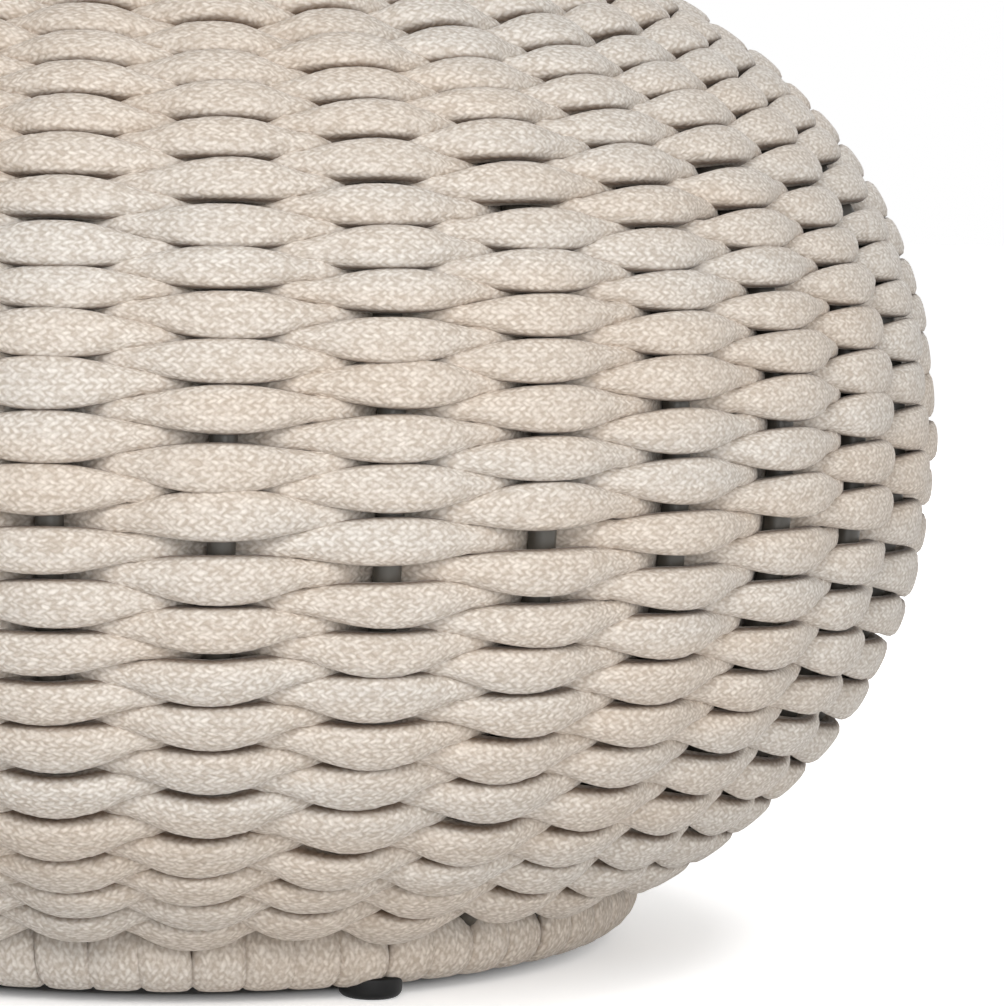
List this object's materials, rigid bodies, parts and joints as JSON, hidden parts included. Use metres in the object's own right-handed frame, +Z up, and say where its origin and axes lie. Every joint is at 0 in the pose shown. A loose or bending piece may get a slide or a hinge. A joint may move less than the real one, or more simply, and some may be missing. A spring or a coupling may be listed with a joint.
{
  "type": "outdoor ottoman footstool",
  "caption": "Round bulging outdoor footstool of thick rope woven over a cage of bent bars, with a rope-wound base ring on small glides.",
  "frame": {"origin": "on the floor, under the centre of the stool, midway between the glides", "axes": "+Z up, +X through rib_01; the ribs are numbered anticlockwise seen from above"},
  "size_m": [0.6258, 0.6258, 0.4205],
  "materials": {
    "frame_bar": "dark grey powder coat",
    "rope": "braided beige outdoor rope",
    "glide": "black moulded"
  },
  "bodies": {
    "root": {"rib_01": "frame_bar", "rib_02": "frame_bar", "rib_03": "frame_bar", "rib_04": "frame_bar", "rib_05": "frame_bar", "rib_06": "frame_bar", "rib_07": "frame_bar", "rib_08": "frame_bar", "rib_09": "frame_bar", "rib_10": "frame_bar", "rib_11": "frame_bar", "rib_12": "frame_bar", "rib_13": "frame_bar", "rib_14": "frame_bar", "rib_15": "frame_bar", "rib_16": "frame_bar", "rib_17": "frame_bar", "rib_18": "frame_bar", "rib_19": "frame_bar", "rib_20": "frame_bar", "rib_21": "frame_bar", "rib_22": "frame_bar", "rib_23": "frame_bar", "rib_24": "frame_bar", "rib_25": "frame_bar", "rib_26": "frame_bar", "rib_27": "frame_bar", "rib_28": "frame_bar", "rib_29": "frame_bar", "rib_30": "frame_bar", "rib_31": "frame_bar", "rib_32": "frame_bar", "base_ring": "frame_bar", "top_hub": "frame_bar", "foot_1": "glide", "foot_2": "glide", "foot_3": "glide", "foot_4": "glide", "woven_cover": "rope", "base_lashing": "rope", "top_coil": "rope"}
  },
  "joints": []
}
